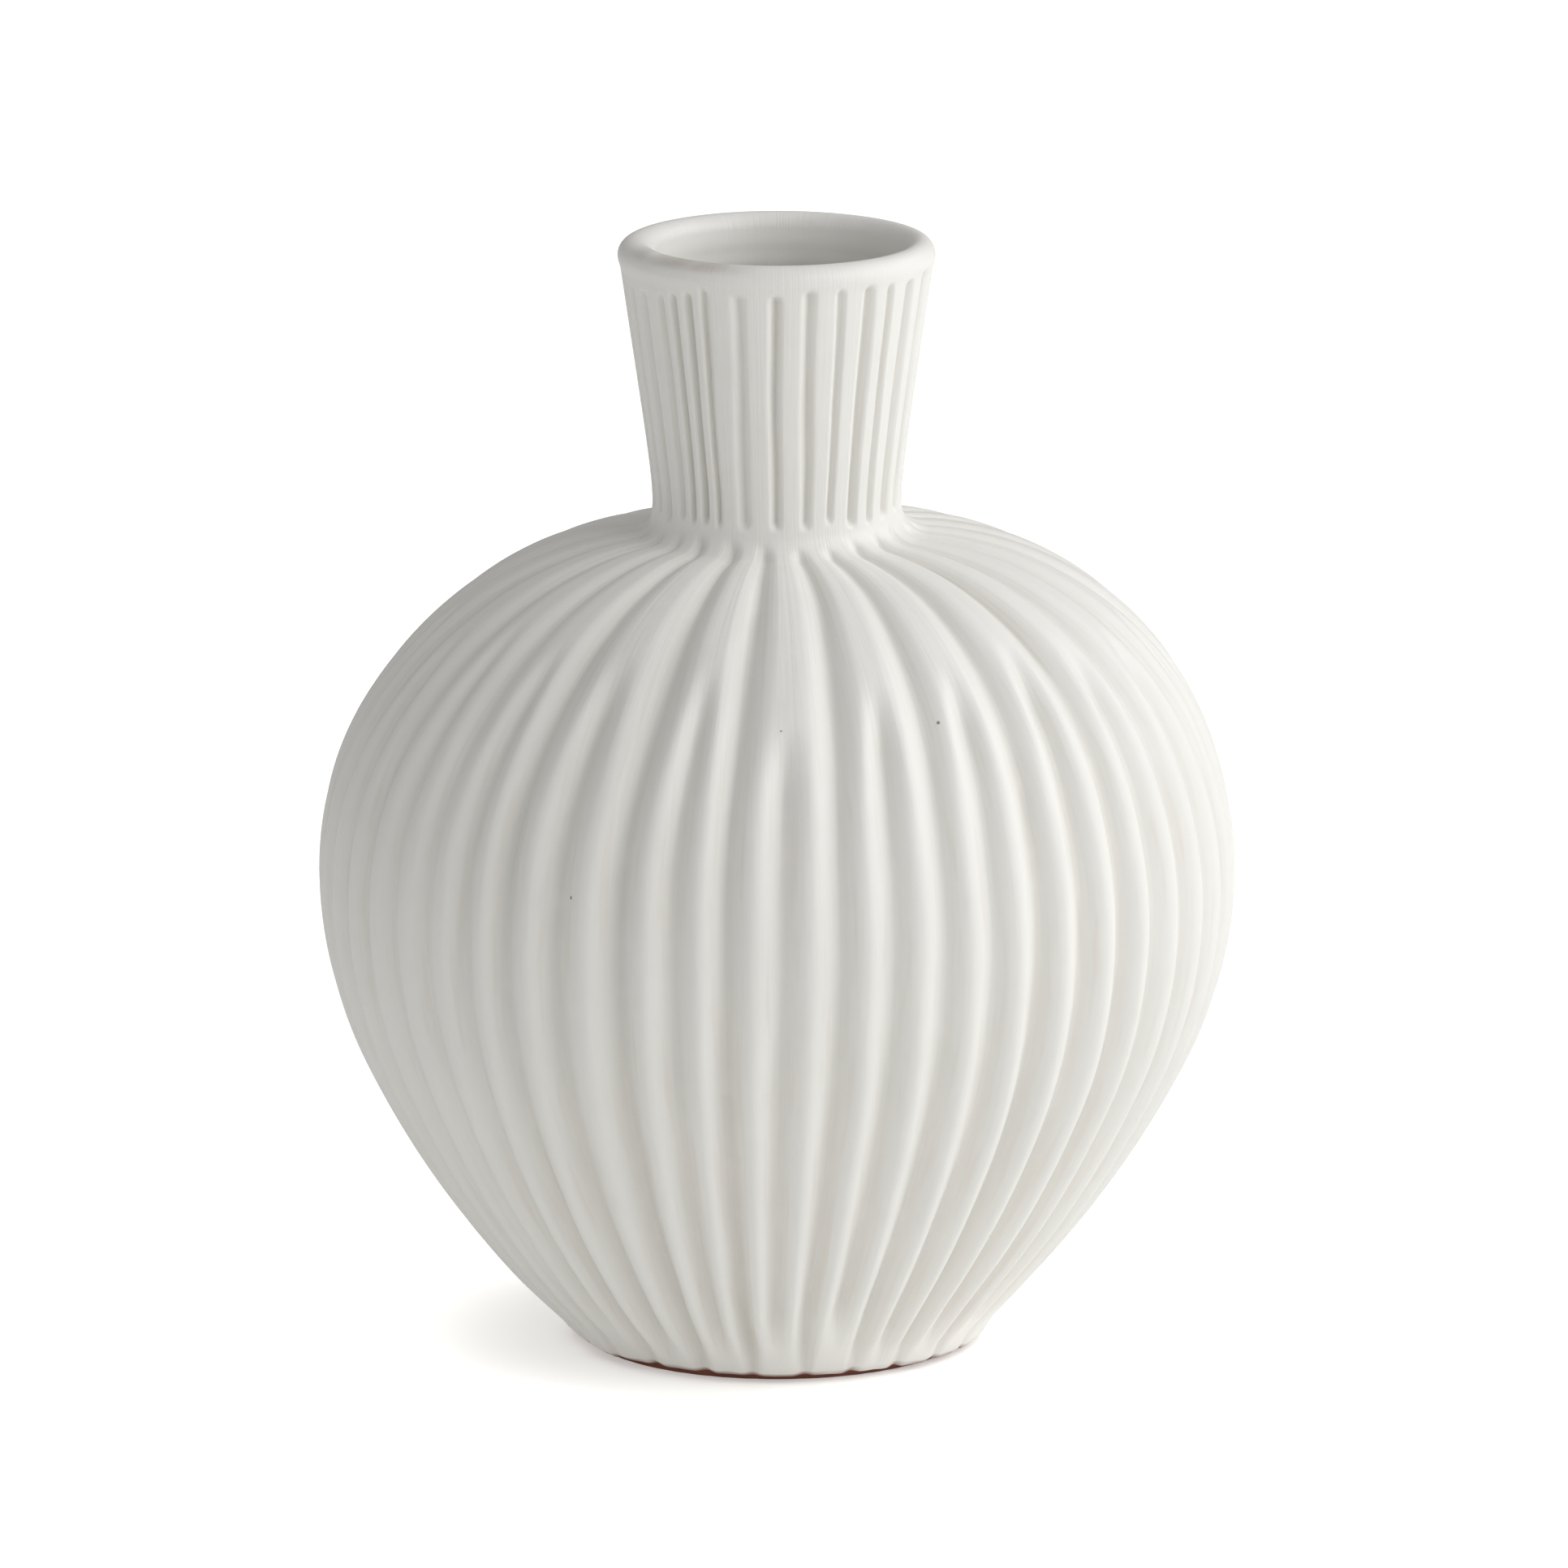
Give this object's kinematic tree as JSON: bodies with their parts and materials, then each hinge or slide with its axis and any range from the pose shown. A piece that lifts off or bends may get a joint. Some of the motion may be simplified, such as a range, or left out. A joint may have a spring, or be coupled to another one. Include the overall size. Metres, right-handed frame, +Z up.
{
  "type": "bud vase",
  "caption": "Round fluted ceramic vase with a fluted flared neck, rolled lip and bare clay foot, holds short stems and water.",
  "frame": {"origin": "centre of the foot, on the surface that the vase stands on", "axes": "+Z up along the axis of the vase, towards the mouth"},
  "size_m": [0.1244, 0.1244, 0.152],
  "materials": {
    "bare_clay": "unglazed fired red clay, dry and slightly gritty",
    "body_clay": "fired red clay under the glaze",
    "white_glaze": "satin-matt white glaze, thinner and warmer in the grooves and on the lip",
    "lining_glaze": "satin white glaze inside the vase"
  },
  "bodies": {
    "root": {"foot_ring": "bare_clay", "floor_slab": "bare_clay", "bulb_wall": "body_clay", "slip_band": "body_clay", "neck_wall": "body_clay", "lip_roll": "body_clay", "bulb_glaze": "white_glaze", "neck_glaze": "white_glaze", "lip_glaze": "white_glaze", "lining_glaze": "lining_glaze"}
  },
  "joints": []
}
